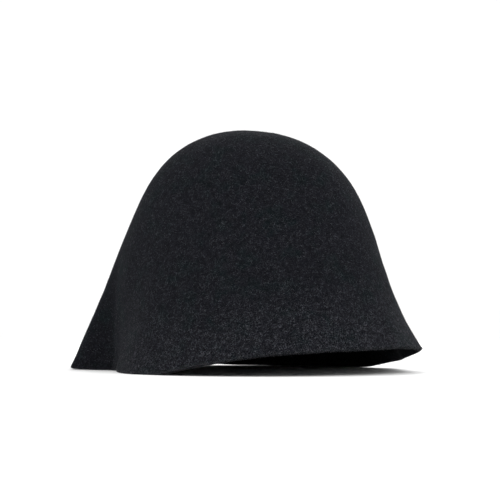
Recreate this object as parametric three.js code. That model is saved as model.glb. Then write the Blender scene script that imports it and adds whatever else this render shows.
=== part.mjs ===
// Felt cloche hat: one moulded wool felt body, untrimmed and unlined, standing on its own rim.
// Millimetres, +Z up, the front of the hat toward -Y and the wearer's left toward +X.
// The origin is the middle of the hat's footprint, on the surface that it stands on.

import * as THREE from 'three';

// ---- Driving dimensions (millimetres and degrees) ----

// Thickness of the felt.
const FELT = 3;

// The crown is half an ellipsoid that reaches further forward than back.
// level is the height of its widest section, and rise is how far its top stands above that.
const CROWN = { halfWidth: 80, frontReach: 99, backReach: 80, level: 103, rise: 78 };

// The side wall takes over from the crown at this latitude above the crown's widest section.
const WALL_START = 27;

// Length of the side wall from the crown to the rim, as the folds measure their way up it.
const WALL_LENGTH = 145;

// How firmly the wall holds the crown's slope at its top and the rim's flare at its foot.
const WALL_HOLD = { top: 0.97, foot: 1.07 };

// The rim, section by section round the hat. turn is measured from the front toward the wearer's
// left, reach is the plan distance from the crown's axis, lift is the height of the rim above the
// surface that the hat stands on, and flare is how far the wall leans outward at the rim.
const RIM = [
  { turn: -180, reach: 139, lift: 8, flare: 24 },
  { turn: -160, reach: 138, lift: 5, flare: 25 },
  { turn: -140, reach: 130, lift: 0, flare: 25 },
  { turn: -120, reach: 121, lift: 0, flare: 25 },
  { turn: -100, reach: 115, lift: 0, flare: 25 },
  { turn: -80, reach: 122, lift: 0, flare: 24 },
  { turn: -60, reach: 133, lift: 8, flare: 27 },
  { turn: -40, reach: 143, lift: 15, flare: 30 },
  { turn: -20, reach: 147, lift: 18, flare: 34 },
  { turn: 0, reach: 147, lift: 19, flare: 38 },
  { turn: 20, reach: 139, lift: 17, flare: 37 },
  { turn: 40, reach: 125, lift: 11, flare: 31 },
  { turn: 60, reach: 125, lift: 7, flare: 27 },
  { turn: 80, reach: 123, lift: 0, flare: 24 },
  { turn: 100, reach: 130, lift: 0, flare: 23 },
  { turn: 120, reach: 131, lift: 0, flare: 23 },
  { turn: 140, reach: 133, lift: 2, flare: 23 },
  { turn: 160, reach: 137, lift: 6, flare: 24 },
];

// Folds pressed into the wall from the rim up. press is the depth at the rim, positive inward,
// before and after are how far the fold spreads to smaller and larger turns, and climb is how far
// up the wall it runs before it has died away. It turns by drift on its way up.
// FOLD_FADE above 1 makes a fold die away faster just above the rim than further up, and
// DRIFT_SPREAD is how far to each side the wall turns along with it.
const FOLDS = [
  { turn: -135, before: 12, after: 48, press: 31, climb: 92, drift: 8 },
  { turn: 58, before: 16, after: 16, press: -4, climb: 60, drift: 0 },
];
const FOLD_FADE = 1.4;
const DRIFT_SPREAD = 80;

// ---- Resolution of the faceted surface ----

const CROWN_ROWS = 9;
const WALL_ROWS = 15;

// Above 1, the wall's rows close up toward the rim.
const ROW_CLOSING = 1.2;

// Columns round the hat: closer together where the sharp fold is.
const COLUMN_SPANS = [
  { from: -180, to: -150, columns: 6 },
  { from: -150, to: -116, columns: 20 },
  { from: -116, to: -80, columns: 12 },
  { from: -80, to: 180, columns: 60 },
];

// ---- Helpers ----

const radians = THREE.MathUtils.degToRad;

// The difference between two turns, brought into -180 to 180 degrees.
function turnBetween(from, to) {
  return THREE.MathUtils.euclideanModulo(to - from + 180, 360) - 180;
}

// One column of the rim table at any turn, as a smooth curve through its rows.
function rimValue(name, turn) {
  const count = RIM.length;
  const start = RIM[0].turn;
  const along = THREE.MathUtils.euclideanModulo(turn - start, 360) + start;
  const row = RIM.findLastIndex((section) => section.turn <= along);
  const at = (index) => RIM[THREE.MathUtils.euclideanModulo(index, count)];
  const gap = (index) => THREE.MathUtils.euclideanModulo(at(index + 1).turn - at(index).turn, 360);
  const slope = (index) => (at(index + 1)[name] - at(index - 1)[name]) / (gap(index) + gap(index - 1));
  const width = gap(row);
  const step = (along - at(row).turn) / width;
  return hermite(at(row)[name], slope(row) * width, at(row + 1)[name], slope(row + 1) * width, step);
}

// A cubic from value a with slope da to value b with slope db, at step 0 to 1.
function hermite(a, da, b, db, step) {
  const square = step * step;
  const cube = square * step;
  return (2 * cube - 3 * square + 1) * a + (cube - 2 * square + step) * da
    + (3 * square - 2 * cube) * b + (cube - square) * db;
}

// ---- The outer surface ----

// Plan distance from the axis to the crown's widest section at a turn.
function crownReach(turn) {
  const sideways = Math.sin(radians(turn)) / CROWN.halfWidth;
  const forward = Math.cos(radians(turn));
  const lengthways = forward / (forward > 0 ? CROWN.frontReach : CROWN.backReach);
  return 1 / Math.hypot(sideways, lengthways);
}

// A point of the crown, as distance from the axis and height.
function crownProfile(turn, latitude) {
  return {
    out: crownReach(turn) * Math.cos(radians(latitude)),
    up: CROWN.level + CROWN.rise * Math.sin(radians(latitude)),
  };
}

// A point of the wall: drop runs from 0 where it leaves the crown to 1 at the rim.
function wallProfile(turn, drop) {
  const top = crownProfile(turn, WALL_START);
  const foot = { out: rimValue('reach', turn), up: Math.max(rimValue('lift', turn), 0) };
  const length = Math.hypot(foot.out - top.out, foot.up - top.up);
  const crownLean = Math.atan2(crownReach(turn) * Math.sin(radians(WALL_START)),
    CROWN.rise * Math.cos(radians(WALL_START)));
  const rimLean = radians(rimValue('flare', turn));
  const topPull = length * WALL_HOLD.top;
  const footPull = length * WALL_HOLD.foot;
  return {
    out: hermite(top.out, topPull * Math.sin(crownLean), foot.out, footPull * Math.sin(rimLean), drop),
    up: hermite(top.up, -topPull * Math.cos(crownLean), foot.up, -footPull * Math.cos(rimLean), drop),
  };
}

// A bump that is 1 at its middle and has died away, smoothly, where across reaches 1.
function bump(across) {
  return across < 1 ? Math.cos(across * Math.PI / 2) ** 2 : 0;
}

// How far all the folds press the wall inward at one place. climb is the distance up from the rim.
function foldPress(turn, climb) {
  let press = 0;
  for (const fold of FOLDS) {
    const away = turnBetween(fold.turn, turn);
    const across = Math.abs(away) / (away < 0 ? fold.before : fold.after);
    const left = Math.max(1 - climb / fold.climb, 0);
    press += fold.press * bump(across) * left ** FOLD_FADE;
  }
  return press;
}

// How far the columns near a fold are turned with it, so that they run along it.
function foldTurn(turn, climb) {
  let turned = 0;
  for (const fold of FOLDS) {
    const across = Math.abs(turnBetween(fold.turn, turn)) / DRIFT_SPREAD;
    turned += fold.drift * bump(across) * Math.min(climb / fold.climb, 1);
  }
  return turned;
}

// Outer surface at a column's turn and a course: 0 at the top of the crown, 1 at the foot of the
// crown, 2 at the rim.
function outerPoint(columnTurn, course) {
  const climb = (2 - Math.max(course, 1)) * WALL_LENGTH;
  const turn = columnTurn + foldTurn(columnTurn, climb);
  const profile = course <= 1
    ? crownProfile(turn, THREE.MathUtils.lerp(90, WALL_START, course))
    : wallProfile(turn, course - 1);
  const out = profile.out - foldPress(columnTurn, climb);
  return new THREE.Vector3(out * Math.sin(radians(turn)), -out * Math.cos(radians(turn)), profile.up);
}

// The inner surface lies one felt thickness inside the outer one, square to it. Where the rim
// rests, its cut edge is pressed flat on the surface below.
function innerPoint(turn, course) {
  const step = 0.01;
  const here = outerPoint(turn, course);
  const round = outerPoint(turn + 1, course).sub(outerPoint(turn - 1, course));
  const above = outerPoint(turn, Math.max(course - step, 0));
  const below = outerPoint(turn, Math.min(course + step, 2));
  const outward = round.cross(above.sub(below)).normalize();
  const inner = here.addScaledVector(outward, -FELT);
  inner.z = Math.max(inner.z, 0);
  return inner;
}

// ---- The solid ----

// Turns of the columns, in order round the hat.
function columnTurns() {
  const turns = [];
  for (const span of COLUMN_SPANS) {
    for (let column = 0; column < span.columns; column += 1) {
      turns.push(THREE.MathUtils.lerp(span.from, span.to, column / span.columns));
    }
  }
  return turns;
}

// Courses of the rows below the top point.
function rowCourses() {
  const courses = [];
  for (let row = 1; row <= CROWN_ROWS; row += 1) {
    courses.push(row / CROWN_ROWS);
  }
  for (let row = 1; row <= WALL_ROWS; row += 1) {
    courses.push(2 - (1 - row / WALL_ROWS) ** ROW_CLOSING);
  }
  return courses;
}

// One closed skin: the outer surface down to the rim, across the cut edge and up the inside.
function feltGeometry() {
  const turns = columnTurns();
  const courses = rowCourses();
  const positions = [];
  const triangles = [];

  // Adds a point and gives its index.
  const add = (point) => {
    positions.push(point.x, point.y, point.z);
    return positions.length / 3 - 1;
  };

  const top = CROWN.level + CROWN.rise;
  const outerTop = add(new THREE.Vector3(0, 0, top));
  const rings = [];
  for (const course of courses) {
    rings.push(turns.map((turn) => add(outerPoint(turn, course))));
  }
  for (const course of courses.toReversed()) {
    rings.push(turns.map((turn) => add(innerPoint(turn, course))));
  }
  const innerTop = add(new THREE.Vector3(0, 0, top - FELT));

  turns.forEach((_, column) => {
    const next = (column + 1) % turns.length;
    triangles.push(outerTop, rings[0][column], rings[0][next]);
    for (let ring = 1; ring < rings.length; ring += 1) {
      const upper = rings[ring - 1];
      const lower = rings[ring];
      triangles.push(upper[column], lower[column], lower[next]);
      triangles.push(upper[column], lower[next], upper[next]);
    }
    triangles.push(innerTop, rings.at(-1)[next], rings.at(-1)[column]);
  });

  const geometry = new THREE.BufferGeometry();
  geometry.setAttribute('position', new THREE.Float32BufferAttribute(positions, 3));
  geometry.setIndex(triangles);
  geometry.computeVertexNormals();
  return geometry;
}

// Moves a shape sideways so that the middle of its footprint is the origin.
function centreFootprint(geometry) {
  geometry.computeBoundingBox();
  const middle = geometry.boundingBox.getCenter(new THREE.Vector3());
  geometry.translate(-middle.x, -middle.y, 0);
  return geometry;
}

function feltBody() {
  const felt = new THREE.MeshStandardMaterial({ color: 0x26272b, roughness: 0.95, metalness: 0 });
  const body = new THREE.Mesh(centreFootprint(feltGeometry()), felt);
  body.name = 'felt_body';
  return body;
}

const hat = new THREE.Group();
hat.add(feltBody());

export default hat;
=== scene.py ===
"""A charcoal wool felt cloche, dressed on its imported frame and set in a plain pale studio.

Metres throughout. +Z is up, the front of the hat faces -Y and the wearer's left is +X.
"""

import math
from typing import Callable, NamedTuple

import bmesh
import bpy
import numpy as np
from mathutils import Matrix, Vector
from mathutils.kdtree import KDTree


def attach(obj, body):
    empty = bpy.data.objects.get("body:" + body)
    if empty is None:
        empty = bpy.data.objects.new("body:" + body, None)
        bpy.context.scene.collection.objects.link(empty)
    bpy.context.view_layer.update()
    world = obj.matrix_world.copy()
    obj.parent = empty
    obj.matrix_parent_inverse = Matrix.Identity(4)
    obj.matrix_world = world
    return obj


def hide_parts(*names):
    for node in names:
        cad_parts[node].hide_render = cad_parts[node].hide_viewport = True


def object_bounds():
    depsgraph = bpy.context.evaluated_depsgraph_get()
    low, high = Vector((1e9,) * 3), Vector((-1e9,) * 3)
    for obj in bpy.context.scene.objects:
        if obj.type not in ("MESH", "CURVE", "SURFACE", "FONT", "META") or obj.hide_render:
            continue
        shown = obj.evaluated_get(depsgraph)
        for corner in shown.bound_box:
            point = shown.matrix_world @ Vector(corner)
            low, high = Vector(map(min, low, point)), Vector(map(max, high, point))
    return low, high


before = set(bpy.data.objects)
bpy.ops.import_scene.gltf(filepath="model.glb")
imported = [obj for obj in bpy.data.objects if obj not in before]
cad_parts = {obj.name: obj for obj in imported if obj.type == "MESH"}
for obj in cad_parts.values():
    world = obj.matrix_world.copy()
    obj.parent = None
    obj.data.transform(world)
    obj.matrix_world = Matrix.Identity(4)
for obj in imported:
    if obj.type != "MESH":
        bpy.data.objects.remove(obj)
CAD_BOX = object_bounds()

bl_info = {
    "name": "Felt Cloche",
    "version": (1, 0, 0),
    "blender": (4, 5, 0),
    "location": "3D View > Sidebar > Felt Cloche",
    "description": "Builds a moulded wool felt cloche with its loose fibres and a plain studio",
    "category": "Object",
}

# ---- What the frame gives ----

BODY_NODE = "felt_body"
RIDES_ON = "root"

# ---- Sizes of the felt body ----

MM = 0.001

# Thickness of the felt.
FELT = 3 * MM

# The middle of the head's place in the crown. Felt that faces away from it is the outside.
HEAD_CENTRE = Vector((0.0, 0.0, 60 * MM))

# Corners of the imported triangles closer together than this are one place.
SAME_PLACE = 0.01 * MM

# An edge that turns by more than this is a corner of the cut edge.
SHARP = math.radians(50)

# How many steps round off a corner of the cut edge.
CORNER_STEPS = 2

# Points for each edge of a corner line, close enough together to measure distances from.
POINTS_PER_EDGE = 10

# On the cut edge, the distances from its two corners add up to little more than the felt's
# thickness. A place is off it where they reach CUT_LIMIT, and fully on it CUT_FADE below that.
CUT_LIMIT = 1.25 * FELT
CUT_FADE = 0.15 * FELT

# Felt lower than REST_BAND keeps its moulded shape, and over FREE_BAND above that it comes free.
REST_BAND = 2 * MM
FREE_BAND = 14 * MM


# ---- Settings that a user would change ----


class FeltShape(bpy.types.PropertyGroup):
    """How the felt departs from a perfect moulding."""

    corner_round: bpy.props.FloatProperty(
        name="Corner rounding",
        description="How far the shears' cut has softened at both corners of the cut edge",
        default=0.6 * MM, min=0.1 * MM, max=1.2 * MM, unit="LENGTH",
    )
    smoothing: bpy.props.IntProperty(
        name="Smoothing",
        description="How many times each face of the moulding is divided and smoothed",
        default=2, min=1, max=2,
    )
    sway: bpy.props.FloatProperty(
        name="Sway",
        description="How far the whole wall wanders from the moulded shape",
        default=1.5 * MM, min=0.0, max=5 * MM, unit="LENGTH",
    )
    sway_span: bpy.props.FloatProperty(
        name="Sway span",
        description="Distance from one wander of the wall to the next",
        default=50 * MM, min=10 * MM, max=120 * MM, unit="LENGTH",
    )
    dimpling: bpy.props.FloatProperty(
        name="Dimpling",
        description="Depth of the shallow dimples left by blocking and handling",
        default=0.5 * MM, min=0.0, max=2 * MM, unit="LENGTH",
    )
    dimple_span: bpy.props.FloatProperty(
        name="Dimple span",
        description="Distance from one shallow dimple to the next",
        default=12 * MM, min=5 * MM, max=40 * MM, unit="LENGTH",
    )


class FeltColour(bpy.types.PropertyGroup):
    """The dyed wool and the lighter hairs mixed into it."""

    slate: bpy.props.FloatVectorProperty(
        name="Slate wool",
        description="The cooler of the two dyed wools",
        default=(0.0034, 0.0065, 0.0074), min=0.0, max=1.0, subtype="COLOR",
    )
    plum: bpy.props.FloatVectorProperty(
        name="Plum wool",
        description="The warmer of the two dyed wools, and the more common",
        default=(0.0052, 0.0057, 0.0078), min=0.0, max=1.0, subtype="COLOR",
    )
    # The darkest wool. It also paints shade in the pits between clumps and on the cut edge.
    dark_wool_and_shade: bpy.props.FloatVectorProperty(
        name="Pits",
        description="The darkest wool, deep between the surface hairs",
        default=(0.0016, 0.0018, 0.0024), min=0.0, max=1.0, subtype="COLOR",
    )
    fleck: bpy.props.FloatVectorProperty(
        name="Fleck",
        description="The undyed light grey hairs that are felted in",
        default=(0.062, 0.063, 0.073), min=0.0, max=1.0, subtype="COLOR",
    )
    corner: bpy.props.FloatVectorProperty(
        name="Cut corner",
        description="The brushed outer corner of the cut edge, where hairs catch the light",
        default=(0.150, 0.155, 0.170), min=0.0, max=1.0, subtype="COLOR",
    )


class LooseFibres(bpy.types.PropertyGroup):
    """The short hairs that stand off the felt."""

    surface_count: bpy.props.IntProperty(
        name="Surface hairs",
        description="How many loose hairs lie on the felt, inside and outside",
        default=15000, min=1, max=16000,
    )
    edge_count: bpy.props.IntProperty(
        name="Edge hairs",
        description="How many loose hairs stand out of the cut edge and its corners",
        default=6000, min=1, max=16000,
    )
    surface_length: bpy.props.FloatProperty(
        name="Surface hair length",
        description="Usual length of a loose hair on the felt",
        default=1.8 * MM, min=0.5 * MM, max=8 * MM, unit="LENGTH",
    )
    edge_length: bpy.props.FloatProperty(
        name="Edge hair length",
        description="Usual length of a loose hair at the cut edge",
        default=1.0 * MM, min=0.3 * MM, max=4 * MM, unit="LENGTH",
    )
    thickness: bpy.props.FloatProperty(
        name="Hair thickness",
        description="Diameter of a loose hair at its middle",
        default=0.045 * MM, min=0.02 * MM, max=0.2 * MM, unit="LENGTH",
    )


class StudioSettings(bpy.types.PropertyGroup):
    """The pale floor, the soft lamps and the camera."""

    paper: bpy.props.FloatVectorProperty(
        name="Paper",
        description="Colour of the pale paper sweep",
        default=(0.96, 0.96, 0.96), min=0.0, max=1.0, subtype="COLOR",
    )
    key_power: bpy.props.FloatProperty(
        name="Key power",
        description="Power of the large soft lamp in front of the hat, in watts",
        default=12.0, min=0.0, max=500.0, unit="POWER",
    )
    fill_power: bpy.props.FloatProperty(
        name="Fill power",
        description="Power of the weaker soft lamp at the hat's right, in watts",
        default=7.0, min=0.0, max=500.0, unit="POWER",
    )
    back_power: bpy.props.FloatProperty(
        name="Back power",
        description="Power of the soft lamp behind the hat, in watts",
        default=9.0, min=0.0, max=500.0, unit="POWER",
    )
    sky_strength: bpy.props.FloatProperty(
        name="Room light",
        description="Strength of the even light from the white room",
        default=1.0, min=0.0, max=5.0,
    )
    camera_bearing: bpy.props.FloatProperty(
        name="Camera bearing",
        description="Where the camera stands round the hat, from its front toward its left",
        default=math.radians(-49), subtype="ANGLE",
    )
    camera_height: bpy.props.FloatProperty(
        name="Camera height",
        description="Height of the lens above the floor",
        default=0.035, min=0.01, max=2.0, unit="LENGTH",
    )
    camera_distance: bpy.props.FloatProperty(
        name="Camera distance",
        description="Distance on the floor from the middle of the hat to the camera",
        default=1.1, min=0.4, max=4.0, unit="LENGTH",
    )
    lens: bpy.props.FloatProperty(
        name="Lens",
        description="Focal length of the camera in millimetres",
        default=105.0, min=20.0, max=200.0, unit="CAMERA",
    )


# ---- Helpers for meshes ----


def only(piece):
    """Makes one object the selected and active one."""
    bpy.ops.object.select_all(action="DESELECT")
    piece.select_set(True)
    bpy.context.view_layer.objects.active = piece


def edit(piece, select="DESELECT"):
    """Opens one object in edit mode, with all of it selected or none of it."""
    only(piece)
    bpy.ops.object.mode_set(mode="EDIT")
    bpy.ops.mesh.select_all(action=select)


def close_edit():
    bpy.ops.object.mode_set(mode="OBJECT")


def apply_modifier(piece, kind, **settings):
    """Adds a modifier with its settings and applies it."""
    only(piece)
    modifier = piece.modifiers.new(kind.title(), kind)
    for name, value in settings.items():
        setattr(modifier, name, value)
    bpy.ops.object.modifier_apply(modifier=modifier.name)


def add_object(name, data):
    """Puts a mesh, a lamp or a camera into the scene as an object."""
    item = bpy.data.objects.new(name, data)
    bpy.context.scene.collection.objects.link(item)
    return item


def vertex_places(mesh):
    """The places of a mesh's vertices, one row each."""
    places = np.zeros(len(mesh.vertices) * 3)
    mesh.vertices.foreach_get("co", places)
    return places.reshape(-1, 3)


def vertex_normals(mesh):
    """The normals at a mesh's vertices, one row each."""
    normals = np.zeros(len(mesh.vertices) * 3)
    mesh.vertex_normals.foreach_get("vector", normals)
    return normals.reshape(-1, 3)


def faces_outside(places, normals):
    """Which places are on the outside of the hat, where the felt faces away from the head."""
    return ((places - np.array(HEAD_CENTRE)) * normals).sum(axis=1) > 0


def finish_piece(piece, material):
    """Gives a piece its one material and fixes it to the frame."""
    piece.data.materials.clear()
    piece.data.materials.append(material)
    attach(piece, RIDES_ON)


# ---- Shader maths ----


def plug(tree, slot, value):
    """Links a node's number or colour to a socket, or sets the socket to a plain value."""
    if isinstance(value, Value):
        tree.links.new(value.socket, slot)
    else:
        slot.default_value = value


def add_node(tree, kind, settings, sockets, output=None):
    """Adds a node, sets it up, then fills its sockets, each given by its name or its number.

    Gives the named output, or the first live one.
    """
    node = tree.nodes.new(kind)
    for name, value in settings.items():
        setattr(node, name, value)
    live = [slot for slot in node.inputs if slot.enabled]
    for name, value in sockets.items():
        slot = live[name] if isinstance(name, int) else next(s for s in live if s.name == name)
        plug(tree, slot, value)
    out = next(slot for slot in node.outputs if slot.enabled and output in (None, slot.name))
    return Value(tree, out)


class Value:
    """A node's output, so that shader maths reads as Python. Each step adds a Math node."""

    def __init__(self, tree, socket):
        self.tree = tree
        self.socket = socket

    def step(self, operation, *values):
        return add_node(
            self.tree, "ShaderNodeMath", {"operation": operation}, dict(enumerate(values))
        )

    def __add__(self, other):
        return self.step("ADD", self, other)

    def __sub__(self, other):
        return self.step("SUBTRACT", self, other)

    def __rsub__(self, other):
        return self.step("SUBTRACT", other, self)

    def __mul__(self, other):
        return self.step("MULTIPLY", self, other)

    __radd__ = __add__
    __rmul__ = __mul__

    def __abs__(self):
        return self.step("ABSOLUTE", self)

    def rise(self, low, high):
        """0 below low, 1 above high and a smooth rise between. With low above high it falls."""
        flip = low > high
        return add_node(
            self.tree, "ShaderNodeMapRange", {"interpolation_type": "SMOOTHSTEP"},
            {
                "Value": self,
                "From Min": min(low, high),
                "From Max": max(low, high),
                "To Min": 1.0 if flip else 0.0,
                "To Max": 0.0 if flip else 1.0,
            },
        )

    def between(self, low, high):
        """low where this is 0 and high where it is 1."""
        return self * (high - low) + low


class Layer(NamedTuple):
    """A cloudy pattern. Its noise lies mostly between 0.3 and 0.7."""

    # Metres from one patch to the next.
    span: float
    # How many finer sizes are mixed in, and how strongly.
    detail: float
    roughness: float
    # Where the noise is read, so that no two layers line up.
    aside: tuple
    # The noise where a patch starts, and where it is full.
    start: float
    full: float


class Finish:
    """One material and the nodes that make it."""

    def __init__(self, name):
        self.material = bpy.data.materials.new(name)
        self.material.use_nodes = True
        self.tree = self.material.node_tree
        self.shader = self.tree.nodes["Principled BSDF"]

    def node(self, kind, settings, sockets, output=None):
        return add_node(self.tree, kind, settings, sockets, output)

    def place(self):
        return self.node("ShaderNodeTexCoord", {}, {}, "Object")

    def along(self, place, axis):
        """How far along one axis a place is."""
        return self.node("ShaderNodeSeparateXYZ", {}, {"Vector": place}, axis)

    def moved(self, place, by):
        """A place moved aside."""
        return self.node("ShaderNodeVectorMath", {"operation": "ADD"}, {0: place, 1: by})

    def attribute(self, name):
        return self.node("ShaderNodeAttribute", {"attribute_name": name}, {}, "Fac")

    def noise(self, place, span, detail, roughness=0.5, warp=0.0):
        """Cloudy noise whose lumps are about span metres apart."""
        return self.node(
            "ShaderNodeTexNoise", {},
            {
                "Vector": place, "Scale": 1 / span, "Detail": detail,
                "Roughness": roughness, "Distortion": warp,
            },
        )

    def cloud(self, place, layer):
        """The bare noise of a layer."""
        there = self.moved(place, layer.aside)
        return self.noise(there, layer.span, layer.detail, layer.roughness)

    def patches(self, place, layer):
        """A layer's patches: 0 between them and 1 where they are full."""
        return self.cloud(place, layer).rise(layer.start, layer.full)

    def mix(self, share, first, second):
        """A colour that goes from the first to the second as share goes from 0 to 1."""
        return self.node(
            "ShaderNodeMix", {"data_type": "RGBA"},
            {"Factor": share, "A": first, "B": second}, "Result",
        )

    def set(self, sockets):
        """Fills sockets of the material's shader."""
        for name, value in sockets.items():
            plug(self.tree, self.shader.inputs[name], value)


def opaque(colour):
    """A colour with its alpha, as a colour socket takes it."""
    return (*colour, 1.0)


# ---- The felt's finish ----

# The two dyed wools lie in broad patches, more plum than slate.
BLEND = Layer(16 * MM, 3.0, 0.6, (0.0, 0.0, 0.0), 0.36, 0.52)

# Both are darker in mottles, and darker still in the pits between clumps of hair: painted shade.
MOTTLE = Layer(4.5 * MM, 2.0, 0.5, (0.5, 0.4, 0.2), 0.62, 0.38)
CLUMP = Layer(1.6 * MM, 3.0, 0.65, (0.3, 0.1, 0.7), 0.58, 0.36)
MOTTLE_DEPTH = 0.45

# The light hairs show more in some places than in others.
TONE = Layer(3.2 * MM, 2.0, 0.5, (0.8, 0.2, 0.6), 0.30, 0.70)

# The corners of the cut edge are brushed in specks: wear with a painted highlight.
SPECKS = Layer(1.4 * MM, 3.0, 0.7, (0.1, 0.9, 0.3), 0.45, 0.68)


class HairKind(NamedTuple):
    """One length of the light hairs that are felted into the surface."""

    # Metres from one hair to the next.
    span: float
    # How far from 0.5 the noise that draws it may be where the hair still shows.
    width: float
    # Where the noise is read, so that no two kinds line up.
    aside: tuple


HAIR_KINDS = (
    HairKind(1.9 * MM, 0.05, (0.2, 0.8, 0.5)),
    HairKind(1.3 * MM, 0.06, (0.6, 0.3, 0.9)),
    HairKind(0.8 * MM, 0.08, (0.4, 0.7, 0.1)),
)

# Hairs wander by HAIR_WARP, and break off where a second noise is low, whose span is BREAK_SHARE of
# their own.
HAIR_WARP = 0.8
BREAK_SHARE = 0.9
BREAK_START, BREAK_FULL = 0.47, 0.60

# The rim's coarser look starts this far from the rim and is full this near to it.
RIM_BAND = (60 * MM, 10 * MM)

# The nape's smoother look is full this far behind the hat's middle and has gone at its middle.
NAPE_BAND = (90 * MM, 0 * MM)

# How strongly the pits' painted shade and the light hairs show, each from the first value to the
# second.
HOLLOW_SHADE_TOWARD_RIM = (0.50, 0.80)
HAIRS_TOWARD_RIM = (0.45, 0.90)
HAIRS_FROM_NAPE = (0.30, 1.00)
HAIRS_INSIDE_TO_OUTSIDE = (0.25, 1.00)
HAIRS_BY_TONE = (0.25, 0.90)

# The cut edge is a little darker than the surface: painted shade.
CUT_SHADE = 0.35

# Its outer corner is brushed lighter all along, more in specks, and both of its corners have faint
# specks besides: wear with a painted highlight where hairs catch the light. Brushing starts at the
# first distance from a corner and is full at the second.
OUTER_CORNER = (0.6 * MM, 0.25 * MM)
EITHER_CORNER = (0.5 * MM, 0.25 * MM)
OUTER_WEAR_AND_HIGHLIGHT = (0.30, 0.80)
EITHER_WEAR_AND_HIGHLIGHT = 0.25

# Relief of the surface: the share of hairs and of clumps in it, its strength and its depth.
HAIR_RELIEF = 0.35
CLUMP_RELIEF = 0.80
RELIEF_STRENGTH = 0.8
RELIEF_DEPTH = 0.4 * MM


def felted_hairs(finish, place, kind):
    """Short wandering marks, 1 in their middle, like hairs that lie in a felted mat."""
    there = finish.moved(place, kind.aside)
    lumps = finish.noise(there, kind.span, detail=1.0, warp=HAIR_WARP)
    breaks = finish.noise(finish.moved(there, kind.aside), kind.span * BREAK_SHARE, detail=1.0)
    return abs(lumps - 0.5).rise(kind.width, 0.0) * breaks.rise(BREAK_START, BREAK_FULL)


def dyed_wool(finish, place, colours, clumps, by_rim):
    """The two dyed wools with their mottles, and painted shade in the pits between clumps."""
    dark_wool_and_shade = opaque(colours.dark_wool_and_shade)
    blend = finish.patches(place, BLEND)
    wool = finish.mix(blend, opaque(colours.slate), opaque(colours.plum))
    wool = finish.mix(finish.patches(place, MOTTLE) * MOTTLE_DEPTH, wool, dark_wool_and_shade)
    # Painted shade in the hollows between clumps of hair, deeper toward the rim.
    hollow_shade = clumps.rise(CLUMP.start, CLUMP.full) * by_rim.between(*HOLLOW_SHADE_TOWARD_RIM)
    return finish.mix(hollow_shade, wool, dark_wool_and_shade)


def hair_strength(finish, place, by_rim):
    """How much of the light hairs shows at a place."""
    from_nape = finish.along(place, "Y").rise(*NAPE_BAND)
    return (
        finish.patches(place, TONE).between(*HAIRS_BY_TONE)
        * by_rim.between(*HAIRS_TOWARD_RIM)
        * from_nape.between(*HAIRS_FROM_NAPE)
        * finish.attribute("outside").between(*HAIRS_INSIDE_TO_OUTSIDE)
    )


def corner_wear_and_highlight(finish, place):
    """How much of the lighter colour, brushed wear and painted highlight, shows at the two corners of
    the cut edge.
    """
    specks = finish.patches(place, SPECKS)
    outer = finish.attribute("from_corner").rise(*OUTER_CORNER) * specks.between(*OUTER_WEAR_AND_HIGHLIGHT)
    either = finish.attribute("from_rim").rise(*EITHER_CORNER) * specks * EITHER_WEAR_AND_HIGHLIGHT
    return outer + either


def felt_finish(colours):
    """Heathered charcoal felt: two dyed wools, light hairs, painted shade in pits and on the cut edge,
    and brushed corners with a painted highlight.
    """
    finish = Finish("charcoal_wool_felt")
    place = finish.place()
    by_rim = finish.attribute("from_rim").rise(*RIM_BAND)
    clumps = finish.cloud(place, CLUMP)
    hairs = sum(felted_hairs(finish, place, kind) for kind in HAIR_KINDS)

    wool = dyed_wool(finish, place, colours, clumps, by_rim)
    wool = finish.mix(hairs * hair_strength(finish, place, by_rim), wool, opaque(colours.fleck))
    # Painted shade on the cut edge.
    wool = finish.mix(finish.attribute("on_cut") * CUT_SHADE, wool, opaque(colours.dark_wool_and_shade))
    # Painted highlight, with brushed wear, on the corners of the cut edge.
    wool = finish.mix(corner_wear_and_highlight(finish, place), wool, opaque(colours.corner))

    relief = finish.node(
        "ShaderNodeBump", {},
        {
            "Strength": RELIEF_STRENGTH, "Distance": RELIEF_DEPTH,
            "Height": hairs * HAIR_RELIEF + clumps * CLUMP_RELIEF,
        },
        "Normal",
    )
    finish.set({
        "Base Color": wool,
        "Roughness": clumps.between(0.84, 0.96),
        "Normal": relief,
        "Specular IOR Level": 0.03,
        "Sheen Weight": 0.010,
        "Sheen Roughness": 0.5,
        "Sheen Tint": (0.75, 0.85, 1.0, 1.0),
    })
    return finish.material


# ---- The felt body ----


def felt_blank():
    """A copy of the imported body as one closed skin, with four-sided faces wherever it can."""
    blank = add_object("felt_hat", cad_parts[BODY_NODE].data.copy())
    any_angle = math.pi
    edit(blank, "SELECT")
    bpy.ops.mesh.customdata_custom_splitnormals_clear()
    bpy.ops.mesh.remove_doubles(threshold=SAME_PLACE)
    bpy.ops.mesh.tris_convert_to_quads(
        face_threshold=any_angle, shape_threshold=any_angle, topology_influence=1.0
    )
    close_edit()
    return blank


def sharp_edges(mesh):
    """The edges at the two corners of the cut edge, as pairs of vertex numbers."""
    form = bmesh.new()
    form.from_mesh(mesh)
    sharp = [
        tuple(vertex.index for vertex in edge.verts)
        for edge in form.edges
        if edge.calc_face_angle() > SHARP
    ]
    form.free()
    return sharp


def rings_of(edges):
    """Sorts edges into closed rings, each as its vertex numbers in order."""
    joins = {}
    for first, second in edges:
        joins.setdefault(first, []).append(second)
        joins.setdefault(second, []).append(first)
    left = set(joins)
    rings = []
    while left:
        ring = [left.pop()]
        while onward := [vertex for vertex in joins[ring[-1]] if vertex in left]:
            ring.append(onward[0])
            left.discard(onward[0])
        rings.append(ring)
    return rings


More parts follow.
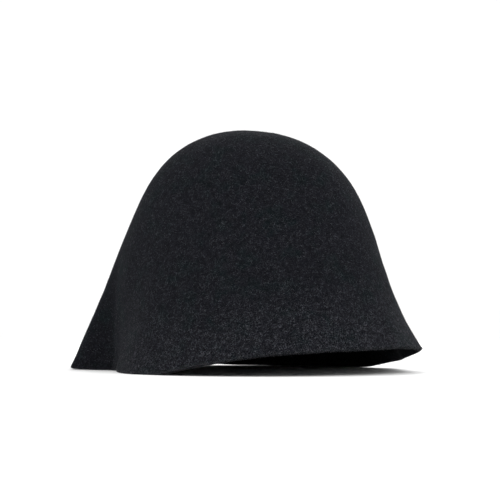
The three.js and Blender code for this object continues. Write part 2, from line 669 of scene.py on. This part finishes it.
def corner_lines(mesh):
    """Points close together along the outer and along the inner corner of the cut edge."""
    lines = []
    for ring in rings_of(sharp_edges(mesh)):
        places = [mesh.vertices[vertex].co for vertex in ring]
        lines.append([
            here.lerp(onward, step / POINTS_PER_EDGE)
            for here, onward in zip(places, places[1:] + places[:1])
            for step in range(POINTS_PER_EDGE)
        ])
    if len(lines) != 2:
        raise RuntimeError(f"the cut edge has {len(lines)} corners, not 2")

    def mean_reach(line):
        return sum((point.xy - HEAD_CENTRE.xy).length for point in line) / len(line)

    inner, outer = sorted(lines, key=mean_reach)
    return outer, inner


def soften_corners(blank, width):
    """Rounds both corners of the cut edge."""
    corners = set(frozenset(pair) for pair in sharp_edges(blank.data))
    edit(blank)
    bpy.ops.mesh.select_mode(type="EDGE")
    form = bmesh.from_edit_mesh(blank.data)
    for edge in form.edges:
        edge.select_set(frozenset(vertex.index for vertex in edge.verts) in corners)
    bmesh.update_edit_mesh(blank.data)
    bpy.ops.mesh.bevel(offset=width, segments=CORNER_STEPS, profile=0.5, affect="EDGES")
    close_edit()


def distances(points, line):
    """How far each point is from a line of close points."""
    tree = KDTree(len(line))
    for number, place in enumerate(line):
        tree.insert(place, number)
    tree.balance()
    return np.array([tree.find(point)[2] for point in points])


def note_places(piece, outer, inner):
    """Stores where each place of the felt is on the hat, for the finish and the hairs to read."""
    places = vertex_places(piece.data)
    from_outer = distances(places, outer)
    from_inner = distances(places, inner)
    for name, values in (
        ("outside", faces_outside(places, vertex_normals(piece.data))),
        ("from_corner", from_outer),
        ("from_rim", np.minimum(from_outer, from_inner)),
        ("on_cut", np.clip((CUT_LIMIT - from_outer - from_inner) / CUT_FADE, 0.0, 1.0)),
    ):
        layer = piece.data.attributes.new(name, "FLOAT", "POINT")
        layer.data.foreach_set("value", values.astype(np.float32))


def clouds(name, span):
    """Procedural clouds whose lumps are about span metres apart, in three loose directions."""
    texture = bpy.data.textures.new(name, "CLOUDS")
    texture.cloud_type = "COLOR"
    texture.noise_scale = span
    texture.noise_depth = 1
    return texture


def free_felt(piece):
    """A vertex group of the felt that is free to wander: all but what rests on the surface below."""
    group = piece.vertex_groups.new(name="free_felt")
    heights = vertex_places(piece.data)[:, 2]
    shares = np.clip((heights - REST_BAND) / FREE_BAND, 0.0, 1.0)
    for number, share in enumerate(shares):
        group.add([number], float(share), "REPLACE")
    return group.name


def wander(piece, shape):
    """Takes the felt a little off its perfect shape, both faces together, but not where it rests."""
    free = free_felt(piece)
    for name, span, reach in (
        ("sway", shape.sway_span, shape.sway),
        ("dimples", shape.dimple_span, shape.dimpling),
    ):
        if reach > 0:
            apply_modifier(
                piece, "DISPLACE", texture=clouds(name, span), texture_coords="LOCAL",
                direction="RGB_TO_XYZ", mid_level=0.5, strength=reach, vertex_group=free,
            )
    piece.vertex_groups.clear()


def press_flat(piece):
    """Keeps all the felt on or above the surface that it rests on."""
    places = vertex_places(piece.data)
    places[:, 2] = np.maximum(places[:, 2], 0.0)
    piece.data.vertices.foreach_set("co", places.ravel())
    piece.data.update()


def make_felt_hat(shape, colours):
    """The whole felt body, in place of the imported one."""
    hat = felt_blank()
    outer, inner = corner_lines(hat.data)
    soften_corners(hat, shape.corner_round)
    apply_modifier(hat, "SUBSURF", levels=shape.smoothing, render_levels=shape.smoothing)
    note_places(hat, outer, inner)
    wander(hat, shape)
    press_flat(hat)
    only(hat)
    bpy.ops.object.shade_smooth()
    finish_piece(hat, felt_finish(colours))
    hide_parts(BODY_NODE)


# ---- Loose hairs ----

# One hair is a slim spindle: a tip, two rings of three points and a tip. These are its faces.
RING_POINTS = 3
SPINDLE_POINTS = 2 + 2 * RING_POINTS
SPINDLE = (
    (0, 2, 1), (0, 3, 2), (0, 1, 3),
    (1, 2, 5), (1, 5, 4), (2, 3, 6), (2, 6, 5), (3, 1, 4), (3, 4, 6),
    (4, 5, 7), (5, 6, 7), (6, 4, 7),
)

# How deep in the felt a hair starts, and how low over the floor it may pass.
ROOT_DEPTH = 0.15 * MM
FLOOR_GAP = 0.02 * MM

# Points of a hair after its root: how far along it they are, how much of its first and its second
# curl they take, and how much of its lift off the felt.
HAIR_LINE = (
    (0.33, 1.0, 0.0, 0.5),
    (0.68, 1.0, 1.0, 1.0),
    (1.00, 0.0, 1.6, 0.9),
)

# How far a curl usually reaches, as a share of the hair's length, and how much lengths vary.
HAIR_CURL = 0.22
LENGTH_SPREAD = 0.35

# All the loose hairs have one finish, lighter than the dyed wool.
HAIR_FINISH = "light_hair"
HAIR_COLOUR = (0.10, 0.102, 0.11)

# How thick the surface hairs grow: inside the hat, outside it, and what the rim adds outside, which
# fades over RIM_FADE.
INSIDE_GROWTH = 0.15
OUTSIDE_GROWTH = 0.7
RIM_GROWTH = 0.6
RIM_FADE = 40 * MM

# Edge hairs fade out within about twice this distance of the cut edge's corners.
EDGE_FADE = 1.2 * MM


class Patch(NamedTuple):
    """The triangles of the felt, one row each."""

    corners: tuple
    normals: np.ndarray
    areas: np.ndarray
    from_rim: np.ndarray


def surface_chance(felt):
    """Loose hairs are sparse inside the hat and gather a little toward the rim outside."""
    outside = faces_outside(felt.corners[0], felt.normals)
    grown = OUTSIDE_GROWTH + RIM_GROWTH * np.exp(-felt.from_rim / RIM_FADE)
    return np.where(outside, grown, INSIDE_GROWTH)


def edge_chance(felt):
    """Edge hairs grow on the cut edge and fade out within a few millimetres of it."""
    return np.exp(-(felt.from_rim / EDGE_FADE) ** 2)


class Growth(NamedTuple):
    """How one piece of loose hairs grows."""

    # How likely each triangle is to carry a hair, for its area.
    chance: Callable
    # The most that a hair stands off the felt.
    lift: float
    # The seed of its random draws.
    seed: int


SURFACE_GROWTH = Growth(surface_chance, 0.7 * MM, 11)
EDGE_GROWTH = Growth(edge_chance, 0.6 * MM, 23)


def triangles_of(mesh):
    """Takes the felt apart into its triangles."""
    mesh.calc_loop_triangles()
    numbers = np.zeros(len(mesh.loop_triangles) * 3, dtype=np.int64)
    mesh.loop_triangles.foreach_get("vertices", numbers)
    numbers = numbers.reshape(-1, 3)
    places = vertex_places(mesh)
    a, b, c = (places[numbers[:, corner]] for corner in range(3))
    cross = np.cross(b - a, c - a)
    gap = np.zeros(len(mesh.vertices), dtype=np.float32)
    mesh.attributes["from_rim"].data.foreach_get("value", gap)
    areas = np.linalg.norm(cross, axis=1) / 2
    return Patch((a, b, c), unit(cross), areas, gap[numbers].mean(axis=1))


def unit(vectors):
    """The vectors at length 1. One that has no length stays as it is."""
    return vectors / np.maximum(np.linalg.norm(vectors, axis=1), 1e-12)[:, None]


def plant(felt, chance, count, draw):
    """Picks places on the felt, and gives each with the felt's normal there."""
    a, b, c = felt.corners
    picked = draw.choice(len(chance), size=count, p=chance / chance.sum())
    u, v = draw.random(count), draw.random(count)
    over = u + v > 1
    u[over], v[over] = 1 - u[over], 1 - v[over]
    places = a[picked] + u[:, None] * (b[picked] - a[picked]) + v[:, None] * (c[picked] - a[picked])
    return places, felt.normals[picked]


def hair_lines(places, normals, lengths, lifts, draw):
    """Each hair's points: it leaves the felt, lies along it in a curve and ends free."""
    count = len(places)
    along = unit(np.cross(normals, unit(draw.normal(size=(count, 3)))))
    side = np.cross(normals, along)
    curls = draw.normal(scale=HAIR_CURL, size=(count, 2)) * lengths[:, None]
    points = [places - normals * ROOT_DEPTH]
    for reach, first, second, lift in HAIR_LINE:
        aside = curls[:, :1] * first + curls[:, 1:] * second
        points.append(
            places + along * lengths[:, None] * reach + side * aside + normals * lifts[:, None] * lift
        )
    return points


def hair_mesh(name, points, normals, thickness):
    """One mesh of many spindles, each along the points of its hair."""
    root, *middle, tip = points
    corners = [root]
    for before, here, after in zip(points, middle, points[2:]):
        tangent = unit(after - before)
        # The small amount keeps the two directions apart where a hair stands straight up.
        first = unit(np.cross(tangent, normals + 0.01))
        second = np.cross(tangent, first)
        for turn in range(RING_POINTS):
            angle = turn * math.tau / RING_POINTS
            spoke = first * math.cos(angle) + second * math.sin(angle)
            corners.append(here + spoke * thickness / 2)
    corners.append(tip)
    vertices = np.stack(corners, axis=1).reshape(-1, 3)
    vertices[:, 2] = np.maximum(vertices[:, 2], FLOOR_GAP)
    starts = SPINDLE_POINTS * np.arange(len(root))
    faces = (np.array(SPINDLE)[None] + starts[:, None, None]).reshape(-1, 3)
    mesh = bpy.data.meshes.new(name)
    mesh.from_pydata(vertices.tolist(), [], faces.tolist())
    return mesh


def hair_finish():
    """The plain finish of the loose hairs."""
    finish = Finish(HAIR_FINISH)
    finish.set({"Base Color": opaque(HAIR_COLOUR), "Roughness": 0.7, "Specular IOR Level": 0.2})
    return finish.material


def make_hairs(name, count, length, thickness, growth):
    """A piece made of loose hairs that grow out of the felt."""
    draw = np.random.default_rng(growth.seed)
    felt = triangles_of(bpy.data.objects["felt_hat"].data)
    places, normals = plant(felt, felt.areas * growth.chance(felt), count, draw)
    lengths = length * draw.lognormal(sigma=LENGTH_SPREAD, size=count)
    lifts = growth.lift * draw.random(count) ** 2
    points = hair_lines(places, normals, lengths, lifts, draw)
    piece = add_object(name, hair_mesh(name, points, normals, thickness))
    edit(piece, "SELECT")
    bpy.ops.mesh.normals_make_consistent(inside=False)
    close_edit()
    bpy.ops.object.shade_smooth()
    # The first piece makes the finish and the second one shares it.
    finish_piece(piece, bpy.data.materials.get(HAIR_FINISH) or hair_finish())


# ---- The studio ----

# The paper is a round sheet. It is flat as far as PAPER_REACH, bends up on a radius of PAPER_BEND until
# it leans PAPER_LEAN from the floor, and goes on straight for PAPER_WALL higher.
PAPER_REACH = 2.4
PAPER_BEND = 0.8
PAPER_LEAN = math.radians(70)
PAPER_WALL = 1.4
PAPER_SIDES = 96
BEND_STEPS = 8


class Lamp(NamedTuple):
    """A large square lamp, aimed at the middle of the hat."""

    # The studio setting that holds its power.
    power: str
    # Where it stands round the hat from the camera, toward the camera's right.
    turn: float
    # How far off it stands along the floor, and how high.
    distance: float
    height: float
    # Length of its sides.
    size: float


LAMPS = {
    "key_lamp": Lamp("key_power", math.radians(50), 1.3, 1.2, 1.1),
    "fill_lamp": Lamp("fill_power", math.radians(-70), 1.5, 0.7, 1.0),
    "back_lamp": Lamp("back_power", math.radians(170), 1.5, 0.9, 1.0),
}


def paper_rise():
    """How far each step of the paper's edge goes outward and up."""
    angles = [PAPER_LEAN * step / BEND_STEPS for step in range(BEND_STEPS + 1)]
    for before, after in zip(angles, angles[1:]):
        yield (
            PAPER_BEND * (math.sin(after) - math.sin(before)),
            PAPER_BEND * (math.cos(before) - math.cos(after)),
        )
    yield PAPER_WALL / math.tan(PAPER_LEAN), PAPER_WALL


def paper_sweep(colour):
    """A round sheet of pale paper that curves up far from the hat."""
    bpy.ops.object.select_all(action="DESELECT")
    bpy.ops.mesh.primitive_circle_add(vertices=PAPER_SIDES, radius=PAPER_REACH, fill_type="NGON")
    sweep = bpy.context.object
    sweep.name = "paper_sweep"
    edit(sweep, "SELECT")
    bpy.ops.mesh.select_mode(type="EDGE")
    form = bmesh.from_edit_mesh(sweep.data)
    for face in form.faces:
        face.select_set(False)
    for edge in form.edges:
        edge.select_set(True)
    bmesh.update_edit_mesh(sweep.data)
    radius = PAPER_REACH
    for out, up in paper_rise():
        growth = (radius + out) / radius
        bpy.ops.mesh.extrude_edges_move(TRANSFORM_OT_translate={"value": (0, 0, up)})
        bpy.ops.transform.resize(value=(growth, growth, 1))
        radius += out
    close_edit()
    bpy.ops.object.shade_smooth()
    finish = Finish("pale_paper")
    finish.set({"Base Color": opaque(colour), "Roughness": 0.9})
    sweep.data.materials.append(finish.material)


def aim(item, place, target):
    """Stands a lamp or the camera at a place, looking at a target."""
    item.location = place
    item.rotation_mode = "QUATERNION"
    item.rotation_quaternion = (target - place).to_track_quat("-Z", "Y")


def round_hat(bearing, distance, height):
    """A place round the hat. The bearing runs from the hat's front toward its left."""
    return Vector((distance * math.sin(bearing), -distance * math.cos(bearing), height))


def stand_lamp(name, lamp, studio, target):
    light = bpy.data.lights.new(name, "AREA")
    light.size = lamp.size
    light.energy = getattr(studio, lamp.power)
    place = round_hat(studio.camera_bearing + lamp.turn, lamp.distance, lamp.height)
    aim(add_object(name, light), place, target)


def stand_camera(studio, target):
    camera = bpy.data.cameras.new("camera")
    camera.lens = studio.lens
    item = add_object("camera", camera)
    place = round_hat(studio.camera_bearing, studio.camera_distance, studio.camera_height)
    aim(item, place, target)
    bpy.context.scene.camera = item


def room_light(strength):
    """Even white light from all round."""
    world = bpy.data.worlds.new("white_room")
    world.use_nodes = True
    sky = world.node_tree.nodes["Background"]
    sky.inputs["Color"].default_value = (1.0, 1.0, 1.0, 1.0)
    sky.inputs["Strength"].default_value = strength
    bpy.context.scene.world = world


def set_studio(studio):
    """The paper, the light and the camera round the hat."""
    low, high = CAD_BOX
    middle = (low + high) / 2
    paper_sweep(studio.paper)
    room_light(studio.sky_strength)
    for name, lamp in LAMPS.items():
        stand_lamp(name, lamp, studio, middle)
    stand_camera(studio, middle)
    bpy.context.scene.view_settings.view_transform = "Standard"


# ---- Operators ----


class CLOCHE_OT_felt_hat(bpy.types.Operator):
    """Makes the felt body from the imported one"""

    bl_idname = "cloche.felt_hat"
    bl_label = "Felt body"

    def execute(self, context):
        make_felt_hat(context.scene.cloche_shape, context.scene.cloche_colour)
        return {"FINISHED"}


class CLOCHE_OT_loose_hairs(bpy.types.Operator):
    """Scatters loose hairs over the felt and along its cut edge"""

    bl_idname = "cloche.loose_hairs"
    bl_label = "Loose hairs"

    def execute(self, context):
        fibres = context.scene.cloche_fibres
        for name, count, length, growth in (
            ("surface_hairs", fibres.surface_count, fibres.surface_length, SURFACE_GROWTH),
            ("edge_hairs", fibres.edge_count, fibres.edge_length, EDGE_GROWTH),
        ):
            make_hairs(name, count, length, fibres.thickness, growth)
        return {"FINISHED"}


class CLOCHE_OT_studio(bpy.types.Operator):
    """Sets up the pale paper, the soft lamps and the camera"""

    bl_idname = "cloche.studio"
    bl_label = "Studio"

    def execute(self, context):
        set_studio(context.scene.cloche_studio)
        return {"FINISHED"}


class CLOCHE_PT_maker(bpy.types.Panel):
    """Lists the hat's makers and their settings"""

    bl_idname = "CLOCHE_PT_maker"
    bl_label = "Felt Cloche"
    bl_space_type = "VIEW_3D"
    bl_region_type = "UI"
    bl_category = "Felt Cloche"

    def draw(self, context):
        for operator, groups in STEPS:
            box = self.layout.box()
            box.operator(operator)
            for group in groups:
                settings = getattr(context.scene, group)
                for name in settings.bl_rna.properties.keys():
                    if name not in ("rna_type", "name"):
                        box.prop(settings, name)


# Each operator in the order it runs, with the groups of settings that it reads.
STEPS = (
    ("cloche.felt_hat", ("cloche_shape", "cloche_colour")),
    ("cloche.loose_hairs", ("cloche_fibres",)),
    ("cloche.studio", ("cloche_studio",)),
)

SETTINGS = {
    "cloche_shape": FeltShape,
    "cloche_colour": FeltColour,
    "cloche_fibres": LooseFibres,
    "cloche_studio": StudioSettings,
}

CLASSES = (
    *SETTINGS.values(),
    CLOCHE_OT_felt_hat,
    CLOCHE_OT_loose_hairs,
    CLOCHE_OT_studio,
    CLOCHE_PT_maker,
)


def register():
    for kind in CLASSES:
        bpy.utils.register_class(kind)
    for name, kind in SETTINGS.items():
        setattr(bpy.types.Scene, name, bpy.props.PointerProperty(type=kind))


def unregister():
    for name in SETTINGS:
        delattr(bpy.types.Scene, name)
    for kind in reversed(CLASSES):
        bpy.utils.unregister_class(kind)


def main():
    register()
    bpy.ops.cloche.felt_hat()
    bpy.ops.cloche.loose_hairs()
    bpy.ops.cloche.studio()


if __name__ == "__main__":
    main()
